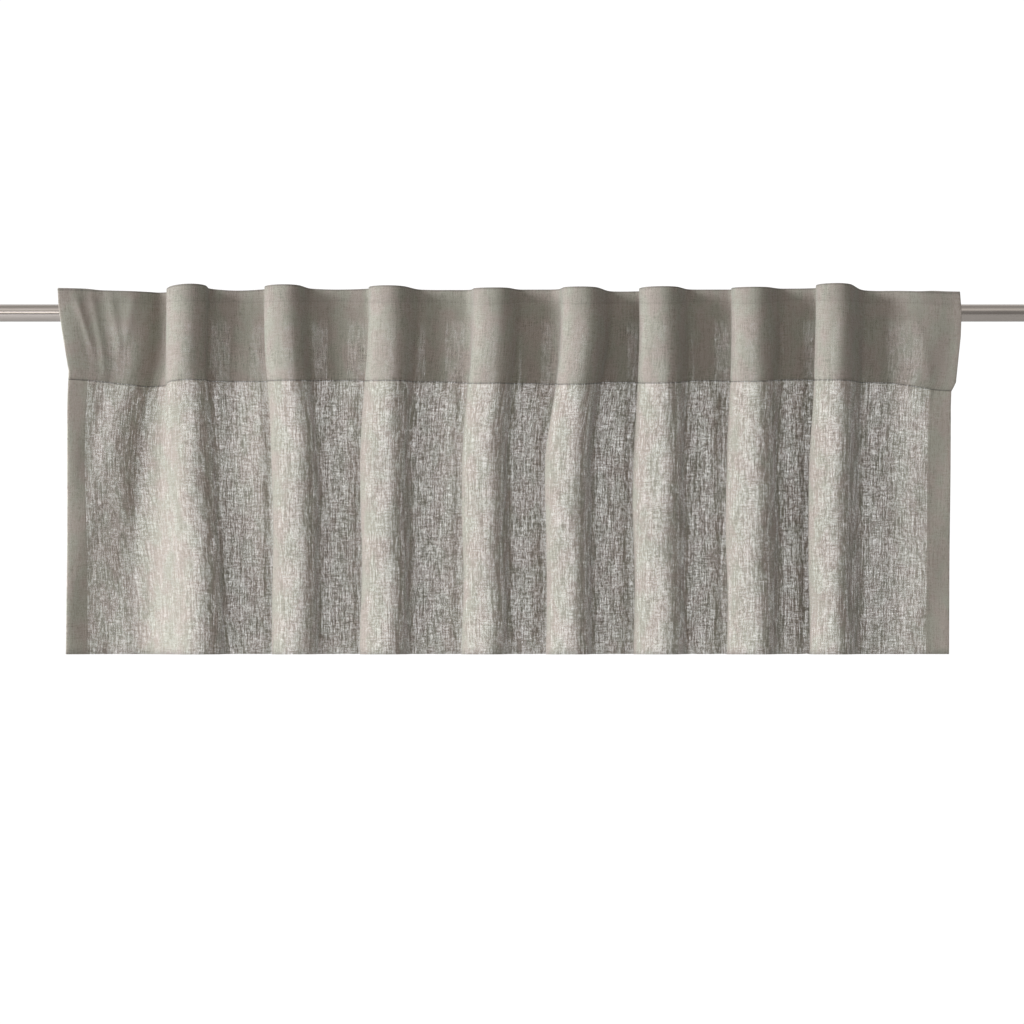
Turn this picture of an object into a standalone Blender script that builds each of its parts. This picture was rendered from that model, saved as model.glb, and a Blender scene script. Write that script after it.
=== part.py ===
"""Linen valance with hidden back tabs, hanging in soft folds on a round steel rod.

The valance is one cut of cloth. Its two side hems are turned twice, and its top is turned once to the back
to make a deep double heading. Nine straps on the back of the heading loop over the rod and pull the cloth
into nine valleys, with eight folds that bulge forward between them.
Metres, +Z up. The rod's axis is X, the origin is at the middle of the rod, and the front faces -Y.
"""
import math

import bpy
import numpy as np

# The rod
ROD_DIAMETER = 0.019
ROD_WALL = 0.001
ROD_LENGTH = 1.200
PLUG_HEAD = 0.002
PLUG_SPIGOT = 0.012
PLUG_PLAY = 0.0003
EDGE_BREAK = 0.0006

# The cloth
CLOTH = 0.0004
LAYER_GAP = 0.0003
FLAT_WIDTH = 1.430
DROP = 0.400
HEADING_DEPTH = 0.103
TOP_ABOVE_ROD = 0.025
HEM_WIDTH = 0.025
HEM_TUCK_SHORT = 0.002
HEM_RELAX = 0.025

# The straps on the back of the heading
TAB_WIDTH = 0.022
TAB_THICKNESS = 0.0009
TAB_TOP_BELOW_EDGE = 0.008
TAB_SEWN = 0.006
TAB_LIFT_OFF = 0.004
SEAT_GAP = 0.0003

# Where each strap pulls a valley into the heading, and where that valley has moved to at the bottom edge
VALLEYS_AT_ROD = (-0.3880, -0.3014, -0.1920, -0.0803, 0.0264, 0.1216, 0.2129, 0.3119, 0.4043)
VALLEYS_AT_BOTTOM = (-0.4130, -0.2943, -0.1920, -0.0924, 0.0116, 0.1056, 0.2079, 0.3053, 0.3955)
# Half the width of each fold's round crest, and how far the crest lies from the middle of its pitch
CREST_RADII_AT_ROD = (0.0220, 0.0205, 0.0220, 0.0205, 0.0200, 0.0220, 0.0215, 0.0200)
CREST_RADII_AT_BOTTOM = (0.0245, 0.0250, 0.0250, 0.0230, 0.0235, 0.0265, 0.0255, 0.0240)
CREST_SHIFTS_AT_ROD = (-0.009, 0.001, 0.006, 0.006, 0.002, 0.000, 0.005, 0.001)
CREST_SHIFTS_AT_BOTTOM = (-0.011, 0.004, 0.001, 0.008, 0.002, 0.003, 0.005, 0.000)
# How far each fold's left and right flanks turn from the line of the rod, in degrees: past 90 they hang over
LEFT_FLANKS_AT_ROD = (106, 104, 104, 82, 83, 104, 104, 105)
RIGHT_FLANKS_AT_ROD = (88, 72, 66, 72, 70, 70, 66, 66)
LEFT_FLANKS_AT_BOTTOM = (48, 88, 86, 82, 90, 91, 92, 93)
RIGHT_FLANKS_AT_BOTTOM = (86, 82, 78, 76, 78, 74, 70, 74)
LEFT_FEET_AT_ROD = (0.0045, 0.0045, 0.0045, 0.0080, 0.0110, 0.0045, 0.0045, 0.0045)
LEFT_FEET_AT_BOTTOM = (0.0380, 0.0065, 0.0060, 0.0090, 0.0060, 0.0060, 0.0060, 0.0060)
RIGHT_FOOT = 0.0050
FOLDS_SETTLE_FROM = 0.030
FOLDS_SETTLE_TO = 0.200
FIRST_FOLD_TURNS = (0.070, 0.190)
FOLD_LIFT_AT_BOTTOM = 0.002
BODY_SETBACK = 0.006

# The two ends of the cloth, beyond the first and the last strap
LEFT_FLAP = 0.113
LEFT_FLAP_AT_BOTTOM = 0.082
RIGHT_FLAP = 0.088
FIRST_PITCH = 0.138
EDGE_HEIGHTS = (0.0, 0.020, 0.046, 0.095, 0.104, 0.120, 0.400)
LEFT_EDGE = (-0.4917, -0.4907, -0.4872, -0.4796, -0.4802, -0.4810, -0.4852)
RIGHT_EDGE = (0.4895, 0.4912, 0.4903, 0.4850, 0.4800, 0.4794, 0.4788)
LEFT_EDGE_FORWARD = (0.038, 0.028)
RIGHT_EDGE_FORWARD = (0.007, 0.004)
LEFT_BULGE = (0.0, 0.0)
RIGHT_BULGE = (0.005, 0.003)
EDGE_POWER = (2.3, 1.25)
EDGE_EASE = (1.0, 1.1)
FLAPS_FLATTEN = (0.120, 0.300)

# Heights of the top edge and of the seam, from the left end over each valley and crest to the right end
TOP_HEIGHTS = (
    0.0222, 0.0212, 0.0284, 0.0234, 0.0278, 0.0245, 0.0267, 0.0240, 0.0240, 0.0245,
    0.0245, 0.0223, 0.0250, 0.0245, 0.0245, 0.0256, 0.0284, 0.0229, 0.0206,
)
SEAM_HEIGHTS = (
    -0.0748, -0.0812, -0.0746, -0.0756, -0.0757, -0.0745, -0.0760, -0.0759, -0.0790, -0.0778,
    -0.0804, -0.0764, -0.0790, -0.0748, -0.0773, -0.0737, -0.0757, -0.0769, -0.0859,
)

# How finely the round and folded shapes are cut
FOLD_STEPS = 12
LEFT_FLAP_STEPS = 4
RIGHT_FLAP_STEPS = 2
TURN_STEPS = 3
HEADING_ROWS = 3
BODY_ROWS = 5
TAB_COLUMNS = 2
TAB_ARC_STEPS = 9
ROD_SIDES = 40
PLEAT_SAMPLES = 80
EASE = 0.002

# Colour, metallic and roughness
LINEN = ((0.335, 0.300, 0.252), 0.0, 0.92)
WEBBING = ((0.400, 0.365, 0.315), 0.0, 0.90)
STEEL = ((0.500, 0.455, 0.410), 1.0, 0.32)
PLASTIC = ((0.330, 0.305, 0.280), 0.0, 0.45)

ROD_RADIUS = ROD_DIAMETER / 2
LAYER = CLOTH + LAYER_GAP
TAB_PITCH = (FLAT_WIDTH - LEFT_FLAP - FIRST_PITCH - RIGHT_FLAP) / (len(VALLEYS_AT_ROD) - 2)
TAB_PLACES = LEFT_FLAP + np.append(0.0, FIRST_PITCH + TAB_PITCH * np.arange(len(VALLEYS_AT_ROD) - 1))
VALLEY_Y = -(ROD_RADIUS + SEAT_GAP + CLOTH / 2 + LAYER)
HEM_LAYERS = 2
BOTTOM_Z = TOP_ABOVE_ROD - DROP


def smooth(value, low, high):
    """0 below low, 1 above high, and a soft step between them."""
    share = np.clip((value - low) / (high - low), 0.0, 1.0)
    return share * share * (3 - 2 * share)


def blend(at_rod, at_bottom, settled):
    return np.asarray(at_rod) + (np.asarray(at_bottom) - np.asarray(at_rod)) * settled


def pleat(pitch, cloth, left_foot, crest_radius, left, right, shift):
    """A fold in plan, from valley to valley: level foot, round foot, flank, round crest, and down again.

    The level feet and the two flanks take the lengths that fit this cloth into this pitch.
    """
    left_bend, right_bend = left_foot + crest_radius, RIGHT_FOOT + crest_radius
    foot, left_run, right_run = np.linalg.solve(
        [
            [2.0, math.cos(left), math.cos(right)],
            [2.0, 1.0, 1.0],
            [0.0, math.sin(left), -math.sin(right)],
        ],
        [
            pitch - left_bend * math.sin(left) - right_bend * math.sin(right),
            cloth - left_bend * left - right_bend * right,
            right_bend * (1 - math.cos(right)) - left_bend * (1 - math.cos(left)),
        ],
    )
    lengths = [
        foot + shift,
        left_foot * left,
        left_run,
        crest_radius * (left + right),
        right_run,
        RIGHT_FOOT * right,
        foot - shift,
    ]
    knots = np.concatenate([[0.0], np.cumsum(np.maximum(lengths, 0.0))])
    along = np.linspace(0.0, knots[-1], PLEAT_SAMPLES + 1)
    middle = (along[1:] + along[:-1]) / 2
    headings = (0.0, 0.0, left, left, -right, -right, 0.0, 0.0)
    heading = sum(np.interp(middle + off, knots, headings) for off in (-EASE, 0.0, EASE)) / 3
    x = np.concatenate([[0.0], np.cumsum(np.cos(heading))])
    forward = np.concatenate([[0.0], np.cumsum(np.sin(heading))]) * knots[-1] / PLEAT_SAMPLES
    return x * pitch / x[-1], forward - forward[-1] * along / knots[-1]


def flap(edge_x, valley_x, forward, bulge, flattened):
    """An end of the cloth in plan, from its free edge in to the valley at its strap."""
    share = np.linspace(0.0, 1.0, PLEAT_SAMPLES + 1)
    fall = (1 - share ** blend(*EDGE_POWER, flattened)) ** blend(*EDGE_EASE, flattened)
    run = blend(*forward, flattened) * fall + blend(*bulge, flattened) * np.sin(math.pi * share) ** 2
    return edge_x + (valley_x - edge_x) * share, run


def flowing(s, heights):
    """A height along the cloth that flows between the ends, the valleys and the crests."""
    middle = np.interp(np.arange(0.0, len(TAB_PLACES) - 0.9, 0.5), np.arange(len(TAB_PLACES)), TAB_PLACES)
    places = np.concatenate([[0.0], middle, [FLAT_WIDTH]])
    spot = np.clip(np.searchsorted(places, s, side="right") - 1, 0, len(places) - 2)
    share = smooth(s, places[spot], places[spot + 1])
    heights = np.asarray(heights)
    return heights[spot] + (heights[spot + 1] - heights[spot]) * share


class Row:
    """The line of the cloth at one height, in plan, by its flat distance from the left edge."""

    def __init__(self, below_top):
        settled = float(smooth(below_top, FOLDS_SETTLE_FROM, FOLDS_SETTLE_TO))
        fallen = float(smooth(below_top, HEADING_DEPTH, DROP))
        self.below_top = below_top
        self.valley_y = VALLEY_Y + BODY_SETBACK * fallen
        valley_x = blend(VALLEYS_AT_ROD, VALLEYS_AT_BOTTOM, settled)
        valley_s = TAB_PLACES.copy()
        valley_s[0] = blend(LEFT_FLAP, LEFT_FLAP_AT_BOTTOM, fallen)
        turned = np.full(len(valley_s) - 1, settled)
        turned[0] = smooth(below_top, *FIRST_FOLD_TURNS)
        flattened = float(smooth(below_top, *FLAPS_FLATTEN))
        radii = blend(CREST_RADII_AT_ROD, CREST_RADII_AT_BOTTOM, turned)
        feet = blend(LEFT_FEET_AT_ROD, LEFT_FEET_AT_BOTTOM, turned)
        shifts = blend(CREST_SHIFTS_AT_ROD, CREST_SHIFTS_AT_BOTTOM, turned)
        left = np.radians(blend(LEFT_FLANKS_AT_ROD, LEFT_FLANKS_AT_BOTTOM, turned))
        right = np.radians(blend(RIGHT_FLANKS_AT_ROD, RIGHT_FLANKS_AT_BOTTOM, turned))
        left_x = np.interp(below_top, EDGE_HEIGHTS, LEFT_EDGE)
        right_x = np.interp(below_top, EDGE_HEIGHTS, RIGHT_EDGE)
        runs = [flap(left_x, valley_x[0], LEFT_EDGE_FORWARD, LEFT_BULGE, flattened)]
        for k in range(len(valley_x) - 1):
            pitch = valley_x[k + 1] - valley_x[k]
            cloth = valley_s[k + 1] - valley_s[k]
            x, forward = pleat(pitch, cloth, feet[k], radii[k], left[k], right[k], shifts[k])
            runs.append((valley_x[k] + x, forward))
        x, forward = flap(right_x, valley_x[-1], RIGHT_EDGE_FORWARD, RIGHT_BULGE, flattened)
        runs.append((x[::-1], forward[::-1]))
        self.join(runs, [0.0, *valley_s, FLAT_WIDTH])

    def join(self, runs, stops):
        """Joins the runs, and gives each point its flat distance from the left edge."""
        flat, x, forward = [], [], []
        for (run_x, run_forward), start, end in zip(runs, stops[:-1], stops[1:]):
            steps = np.hypot(np.diff(run_x), np.diff(run_forward))
            along = np.concatenate([[0.0], np.cumsum(steps)])
            flat.append(start + (end - start) * along[:-1] / along[-1])
            x.append(run_x[:-1])
            forward.append(run_forward[:-1])
        self.flat = np.concatenate([*flat, [FLAT_WIDTH]])
        self.x = np.concatenate([*x, [runs[-1][0][-1]]])
        self.forward = np.concatenate([*forward, [runs[-1][1][-1]]])
        along_x, along_y = np.gradient(self.x), -np.gradient(self.forward)
        length = np.hypot(along_x, along_y)
        self.along_x, self.along_y = along_x / length, along_y / length

    def heights(self, s, forward):
        """Heights of the cloth. Below the seam the folds come to ride a little higher than the valleys."""
        top, seam = flowing(s, TOP_HEIGHTS), flowing(s, SEAM_HEIGHTS)
        if self.below_top <= HEADING_DEPTH:
            return top + (seam - top) * self.below_top / HEADING_DEPTH
        share = (self.below_top - HEADING_DEPTH) / (DROP - HEADING_DEPTH)
        bottom = BOTTOM_Z + FOLD_LIFT_AT_BOTTOM * forward / (TAB_PITCH / 3)
        return seam + (bottom - seam) * share

    def points(self, s, behind):
        """Places of the cloth at flat distances s, each moved back from the front layer by behind."""
        inside = np.clip(s, 0.0, FLAT_WIDTH)
        x = np.interp(inside, self.flat, self.x)
        forward = np.interp(inside, self.flat, self.forward)
        along_x = np.interp(inside, self.flat, self.along_x)
        along_y = np.interp(inside, self.flat, self.along_y)
        length = np.hypot(along_x, along_y)
        along_x, along_y = along_x / length, along_y / length
        past = s - inside
        x = x + along_x * past - along_y * behind
        y = self.valley_y - forward + along_y * past + along_x * behind
        return np.stack([x, y, self.heights(inside, forward)], axis=1)


def heading_thickness(s):
    """How far the turned-over back layer lies behind the front layer."""
    from_edge = np.minimum(s, FLAT_WIDTH - s)
    in_hem = 1 - smooth(from_edge, HEM_WIDTH + LAYER, HEM_WIDTH + HEM_RELAX)
    return LAYER * (1 + 2 * HEM_LAYERS * in_hem)


def flat_stops():
    """Flat distances of the front layer's columns, closer together in the folds."""
    first, last = LEFT_FLAP, FLAT_WIDTH - RIGHT_FLAP
    hem = np.linspace(0.0, HEM_WIDTH, 3)
    relax = [HEM_WIDTH + HEM_RELAX]
    ends = [
        np.linspace(HEM_WIDTH + HEM_RELAX, flap - TAB_WIDTH / 2, steps + 1)[1:-1]
        for flap, steps in ((LEFT_FLAP, LEFT_FLAP_STEPS), (RIGHT_FLAP, RIGHT_FLAP_STEPS))
    ]
    folds = [
        np.linspace(start + TAB_WIDTH / 2, end - TAB_WIDTH / 2, FOLD_STEPS + 1)
        for start, end in zip(TAB_PLACES[:-1], TAB_PLACES[1:])
    ]
    tabs = [first - TAB_WIDTH / 2, *TAB_PLACES, last + TAB_WIDTH / 2]
    left, right = (np.concatenate([hem, relax, end]) for end in ends)
    return np.sort(np.concatenate([left, *folds, tabs, FLAT_WIDTH - right]))


def half_turn(steps):
    """Sines and cosines of the inner steps of a half turn."""
    angles = np.linspace(0.0, math.pi, steps + 1)[1:-1]
    return np.sin(angles), np.cos(angles)


def cut_across():
    """The cloth's line across its width, raw edge to raw edge, as (flat distance, layers behind the front)."""
    sines, cosines = half_turn(TURN_STEPS)
    tuck_s = np.linspace(HEM_TUCK_SHORT, HEM_WIDTH, 3)
    inner_turn = np.stack([HEM_WIDTH + sines * LAYER / 2, 1.5 - cosines / 2], axis=1)
    back_s = np.linspace(HEM_WIDTH, 0.0, 3)
    outer_turn = np.stack([-sines * LAYER, 1.0 + cosines], axis=1)
    tuck = np.stack([tuck_s, np.full(3, 1.0)], axis=1)
    back = np.stack([back_s, np.full(3, 2.0)], axis=1)
    hem = np.concatenate([tuck, inner_turn, back, outer_turn])
    front = flat_stops()
    middle = np.stack([front, np.zeros_like(front)], axis=1)
    mirrored = hem[::-1] * (-1, 1) + (FLAT_WIDTH, 0)
    return np.concatenate([hem, middle, mirrored])


def cloth_rows():
    """The folded cloth, row by row, from the turned-over layer's edge over the top and down the front."""
    across = cut_across()
    s, behind = across[:, 0], across[:, 1] * LAYER
    apart = heading_thickness(s)
    down_heading = np.linspace(0.0, HEADING_DEPTH, HEADING_ROWS + 1)
    down_body = np.linspace(HEADING_DEPTH, DROP, BODY_ROWS + 1)[1:]
    rows = [Row(t).points(s, apart - behind) for t in down_heading[::-1]]
    sines, cosines = half_turn(TURN_STEPS)
    radius = apart / 2 - behind
    top = Row(0.0)
    for sine, cosine in zip(sines, cosines):
        turned = top.points(s, apart / 2 + radius * cosine)
        turned[:, 2] += radius * sine
        rows.append(turned)
    rows += [Row(t).points(s, behind) for t in np.concatenate([down_heading, down_body])]
    return rows


def heading_place(s, below_top, behind):
    """A place behind the heading, on the straight run between the two rows of cloth above and below it."""
    row = HEADING_DEPTH / HEADING_ROWS
    above = min(int(below_top / row), HEADING_ROWS - 1)
    ends = [Row(row * n).points(np.array([s]), np.array([behind]))[0] for n in (above, above + 1)]
    share = below_top / row - above
    return ends[0] + (ends[1] - ends[0]) * share


def tab_column(s):
    """One line of a strap, from its sewn top end over the rod to its sewn bottom end."""
    on_back = LAYER + CLOTH / 2 + SEAT_GAP + TAB_THICKNESS / 2
    around = ROD_RADIUS + SEAT_GAP + TAB_THICKNESS / 2
    top_from, top_to = TAB_TOP_BELOW_EDGE, TAB_TOP_BELOW_EDGE + TAB_SEWN
    bottom_from, bottom_to = HEADING_DEPTH - TAB_SEWN, HEADING_DEPTH
    ends = [heading_place(s, t, on_back) for t in (top_from, top_to, bottom_from, bottom_to)]
    leaves, lands = ends[1], ends[2]
    start = math.atan2(leaves[2], leaves[1]) - math.acos(
        min(1.0, around / math.hypot(leaves[1], leaves[2]))
    )
    stop = math.atan2(lands[2], lands[1]) + math.acos(
        min(1.0, around / math.hypot(lands[1], lands[2]))
    )
    angles = np.linspace(start, stop, TAB_ARC_STEPS + 1)
    shares = np.linspace(0.0, 1.0, TAB_ARC_STEPS + 1)
    arc = [
        (leaves[0] + (lands[0] - leaves[0]) * share, around * math.cos(a), around * math.sin(a))
        for a, share in zip(angles, shares)
    ]
    slack = np.array(lands) + (0.0, TAB_LIFT_OFF / 2, TAB_LIFT_OFF)
    return [ends[0], ends[1], *arc, slack, ends[2], ends[3]]


def material(name, finish):
    colour, metallic, roughness = finish
    made = bpy.data.materials.new(name)
    made.use_nodes = True
    shader = made.node_tree.nodes["Principled BSDF"]
    shader.inputs["Base Color"].default_value = (*colour, 1.0)
    shader.inputs["Metallic"].default_value = metallic
    shader.inputs["Roughness"].default_value = roughness
    return made


def sheet_object(name, rows, thickness, finish, collection):
    """A closed sheet of even thickness on a grid of points."""
    count = len(rows[0])
    faces = [
        (r * count + c, (r + 1) * count + c, (r + 1) * count + c + 1, r * count + c + 1)
        for r in range(len(rows) - 1)
        for c in range(count - 1)
    ]
    mesh = bpy.data.meshes.new(name)
    mesh.from_pydata([tuple(p) for row in rows for p in row], [], faces)
    mesh.materials.append(finish)
    mesh.shade_smooth()
    made = bpy.data.objects.new(name, mesh)
    collection.objects.link(made)
    solid = made.modifiers.new("thickness", "SOLIDIFY")
    solid.thickness = thickness
    solid.offset = 0.0
    return made


def turned_object(name, profile, finish, collection):
    """A solid turned about the rod's axis, from a closed profile of (along the axis, radius)."""
    mesh = bpy.data.meshes.new(name)
    count = len(profile)
    mesh.from_pydata(
        [(radius, 0.0, along) for along, radius in profile],
        [(i, (i + 1) % count) for i in range(count)],
        [],
    )
    made = bpy.data.objects.new(name, mesh)
    mesh.materials.append(finish)
    collection.objects.link(made)
    made.rotation_euler = (0.0, math.pi / 2, 0.0)
    turn = made.modifiers.new("turn", "SCREW")
    turn.axis = "Z"
    turn.steps = turn.render_steps = ROD_SIDES
    turn.use_merge_vertices = True
    turn.merge_threshold = 0.0001
    turn.use_normal_calculate = True
    turn.use_smooth_shade = False
    return made


def rod_profile():
    """The tube's wall, with its outer end edges broken."""
    half, inner = ROD_LENGTH / 2 - PLUG_HEAD - SEAT_GAP, ROD_RADIUS - ROD_WALL
    return [
        (half - EDGE_BREAK, ROD_RADIUS),
        (half, ROD_RADIUS - EDGE_BREAK),
        (half, inner),
        (-half, inner),
        (-half, ROD_RADIUS - EDGE_BREAK),
        (-half + EDGE_BREAK, ROD_RADIUS),
    ]


def plug_profile(side):
    """A plain end plug: a flat head flush with the tube, and a spigot that fills its bore."""
    spigot_radius = ROD_RADIUS - ROD_WALL - PLUG_PLAY
    outside = ROD_LENGTH / 2
    seat = outside - PLUG_HEAD
    inside = seat - PLUG_SPIGOT
    profile = [
        (outside, 0.0),
        (outside, ROD_RADIUS - EDGE_BREAK),
        (outside - EDGE_BREAK, ROD_RADIUS),
        (seat, ROD_RADIUS),
        (seat, spigot_radius),
        (inside + EDGE_BREAK, spigot_radius),
        (inside, spigot_radius - EDGE_BREAK),
        (inside, 0.0),
    ]
    return [(side * along, radius) for along, radius in profile]


def clear_scene():
    for old in list(bpy.data.objects):
        bpy.data.objects.remove(old, do_unlink=True)


def build():
    clear_scene()
    valance = bpy.data.collections.new("valance")
    bpy.context.scene.collection.children.link(valance)
    linen = material("linen", LINEN)
    webbing = material("tab_webbing", WEBBING)
    steel = material("brushed_steel", STEEL)
    plastic = material("plug_plastic", PLASTIC)

    sheet_object("panel", cloth_rows(), CLOTH, linen, valance)
    for number, s in enumerate(TAB_PLACES, start=1):
        columns = [
            tab_column(s + offset)
            for offset in np.linspace(-TAB_WIDTH / 2, TAB_WIDTH / 2, TAB_COLUMNS + 1)
        ]
        sheet_object(f"back_tab_{number}", columns, TAB_THICKNESS, webbing, valance)
    turned_object("rod", rod_profile(), steel, valance)
    turned_object("end_plug_left", plug_profile(-1), plastic, valance)
    turned_object("end_plug_right", plug_profile(1), plastic, valance)


build()
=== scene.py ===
"""A linen valance on a steel rod: fine cloth, straps, stitching, finishes, studio and camera.

Metres, +Z up. The rod's axis is X, the origin is at the middle of the rod, and the front faces -Y.
"""
import math

import bmesh
import bpy
import numpy as np
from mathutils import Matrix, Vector


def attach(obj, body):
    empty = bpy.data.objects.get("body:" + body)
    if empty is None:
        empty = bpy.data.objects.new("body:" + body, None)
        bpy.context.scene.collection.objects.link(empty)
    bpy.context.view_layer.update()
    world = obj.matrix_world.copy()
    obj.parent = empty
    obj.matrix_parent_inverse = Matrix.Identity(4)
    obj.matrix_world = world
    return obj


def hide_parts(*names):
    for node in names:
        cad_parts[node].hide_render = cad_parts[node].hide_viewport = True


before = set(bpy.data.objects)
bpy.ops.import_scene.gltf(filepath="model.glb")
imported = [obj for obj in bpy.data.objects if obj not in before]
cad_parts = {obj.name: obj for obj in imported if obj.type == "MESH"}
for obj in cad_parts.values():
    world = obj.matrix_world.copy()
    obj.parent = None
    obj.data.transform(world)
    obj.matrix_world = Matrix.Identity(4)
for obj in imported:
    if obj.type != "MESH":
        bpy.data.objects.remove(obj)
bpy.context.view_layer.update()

# The rod
ROD_DIAMETER = 0.019
ROD_WALL = 0.001
ROD_LENGTH = 1.200
PLUG_HEAD = 0.002
PLUG_SPIGOT = 0.012
PLUG_PLAY = 0.0003
EDGE_BREAK = 0.0006
ROD_SIDES = 96

# The cloth
CLOTH = 0.0004
LAYER_GAP = 0.0003
FLAT_WIDTH = 1.430
DROP = 0.400
HEADING_DEPTH = 0.103
TOP_ABOVE_ROD = 0.025
HEM_WIDTH = 0.025
HEM_TUCK_SHORT = 0.002
HEM_RELAX = 0.025
TURN_AT_VALLEYS = 0.0125
TURN_AT_CRESTS = 0.0180

# The straps on the back of the heading
TAB_WIDTH = 0.022
TAB_THICKNESS = 0.0009
TAB_TOP_BELOW_EDGE = 0.008
TAB_SEWN = 0.006
TAB_LIFT_OFF = 0.004
SEAT_GAP = 0.0003

# Where each strap pulls a valley into the heading, and where that valley has moved to at the bottom edge
VALLEYS_AT_ROD = (-0.3880, -0.3014, -0.1920, -0.0803, 0.0264, 0.1216, 0.2129, 0.3119, 0.4043)
VALLEYS_AT_BOTTOM = (-0.4130, -0.2943, -0.1920, -0.0924, 0.0116, 0.1056, 0.2079, 0.3053, 0.3955)
# Half the width of each fold's round crest, and how far the crest lies from the middle of its pitch
CREST_RADII_AT_ROD = (0.0220, 0.0205, 0.0220, 0.0205, 0.0200, 0.0220, 0.0215, 0.0200)
CREST_RADII_AT_BOTTOM = (0.0245, 0.0235, 0.0240, 0.0225, 0.0225, 0.0255, 0.0242, 0.0222)
CREST_SHIFTS_AT_ROD = (-0.009, 0.001, 0.006, 0.006, 0.002, 0.000, 0.005, 0.001)
CREST_SHIFTS_AT_BOTTOM = (-0.011, 0.0075, 0.0045, 0.012, 0.005, 0.0055, 0.0073, 0.0038)
# How far each fold's left and right flanks turn from the line of the rod, in degrees: past 90 they hang over
LEFT_FLANKS_AT_ROD = (106, 104, 104, 82, 83, 104, 104, 105)
RIGHT_FLANKS_AT_ROD = (88, 72, 66, 72, 70, 70, 66, 66)
LEFT_FLANKS_AT_BOTTOM = (43, 102, 102, 98, 102, 100, 98, 102)
RIGHT_FLANKS_AT_BOTTOM = (86, 82, 78, 76, 78, 74, 70, 66)
LEFT_FEET_AT_ROD = (0.0045, 0.0045, 0.0045, 0.0080, 0.0110, 0.0045, 0.0045, 0.0045)
LEFT_FEET_AT_BOTTOM = (0.0380, 0.0045, 0.0045, 0.0045, 0.0045, 0.0045, 0.0045, 0.0045)
RIGHT_FOOT = 0.0050
# How square each crest is: 1 is a round arc, and more is flatter in front with tighter shoulders
SQUARENESS_AT_ROD = (1.0, 1.40, 1.20, 1.40, 1.35, 1.30, 1.20, 1.25)
SQUARENESS_AT_BOTTOM = (1.0, 1.45, 1.40, 1.45, 1.40, 1.50, 1.45, 1.35)
CREST_SAMPLES = 41
FOLDS_SETTLE_FROM = 0.030
FOLDS_SETTLE_TO = 0.200
FIRST_FOLD_TURNS = (0.070, 0.190)
FOLD_LIFT_AT_BOTTOM = 0.002
BODY_SETBACK = 0.006

# The two ends of the cloth, beyond the first and the last strap
LEFT_FLAP = 0.113
LEFT_FLAP_AT_BOTTOM = 0.082
RIGHT_FLAP = 0.088
FIRST_PITCH = 0.138
EDGE_HEIGHTS = (0.0, 0.020, 0.046, 0.095, 0.104, 0.120, 0.400)
LEFT_EDGE = (-0.4917, -0.4907, -0.4872, -0.4796, -0.4802, -0.4810, -0.4852)
RIGHT_EDGE = (0.4895, 0.4912, 0.4903, 0.4850, 0.4800, 0.4794, 0.4788)
LEFT_EDGE_FORWARD = (0.038, 0.028)
RIGHT_EDGE_FORWARD = (0.007, 0.004)
LEFT_BULGE = (-0.0070, -0.0030)
RIGHT_BULGE = (0.005, 0.003)
EDGE_POWER = (4.5, 1.25)
EDGE_LEAN = (0.3, 0.0)
EDGE_EASE = (1.0, 1.1)
FLAPS_FLATTEN = (0.120, 0.300)

# Heights of the top edge and of the seam, from the left end over each valley and crest to the right end
TOP_HEIGHTS = (
    0.0222, 0.0212, 0.0284, 0.0234, 0.0278, 0.0245, 0.0267, 0.0240, 0.0240, 0.0245,
    0.0245, 0.0223, 0.0250, 0.0245, 0.0245, 0.0256, 0.0284, 0.0229, 0.0206,
)
SEAM_HEIGHTS = (
    -0.0748, -0.0812, -0.0746, -0.0756, -0.0757, -0.0745, -0.0760, -0.0759, -0.0790, -0.0778,
    -0.0804, -0.0764, -0.0790, -0.0748, -0.0773, -0.0737, -0.0757, -0.0769, -0.0859,
)

# How finely the cloth is cut
COLUMN_STEP = 0.0032
HEADING_STEP = 0.0045
BACK_STEPS = 11
BODY_STEP = 0.0080
TURN_STEPS = 5
TAB_COLUMNS = 6
TAB_ARC_STEPS = 26
PLEAT_SAMPLES = 120
EASE = 0.002
HEM_POINTS = 6
TAB_SEWN_POINTS = 4
TAB_RUN_POINTS = 9
# Closer points beside a sewn line, and how far from it the even ones start again
BESIDE_SEWN_LINE = (-0.003, -0.0016, -0.0008, 0.0, 0.0008, 0.0016, 0.003)
CLEAR_OF_SEWN_LINE = 0.004
# Edges of the turned pieces sharper than this stay sharp, in degrees
SHARP_ANGLE = 35
SAME_POINT = 0.000001

# Sewing thread
STITCH = 0.0026
STITCH_PITCH = 0.0032
THREAD_RADIUS = 0.00019
SEWN_FROM_EDGE = 0.003
SEWN_STEP = 0.002
SEWN_STEPS_DOWN = 90
HEM_SEWN_FROM_FOLD = 0.0015
HEM_SEWN_BELOW_SEAM = 0.003
HEM_SEWN_ABOVE_BOTTOM = 0.002
SEAM_SEWN_ABOVE = 0.0012
# How far the middle of a stitch stands out of the cloth, as a share of the thread's radius
STITCH_STANDS_OUT = 0.4

ROD_RADIUS = ROD_DIAMETER / 2
LAYER = CLOTH + LAYER_GAP
TAB_PITCH = (FLAT_WIDTH - LEFT_FLAP - FIRST_PITCH - RIGHT_FLAP) / (len(VALLEYS_AT_ROD) - 2)
TAB_PLACES = LEFT_FLAP + np.append(0.0, FIRST_PITCH + TAB_PITCH * np.arange(len(VALLEYS_AT_ROD) - 1))
VALLEY_Y = -(ROD_RADIUS + SEAT_GAP + CLOTH / 2 + LAYER)
HEM_LAYERS = 2
BOTTOM_Z = TOP_ABOVE_ROD - DROP
HEM_LINE = HEM_WIDTH - HEM_SEWN_FROM_FOLD

# Camera
CAMERA_HEIGHT = -0.2189
CAMERA_DISTANCE = 3.3
PICTURE_WIDTH = 1.1264
SENSOR = 36.0


# Folds


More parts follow.
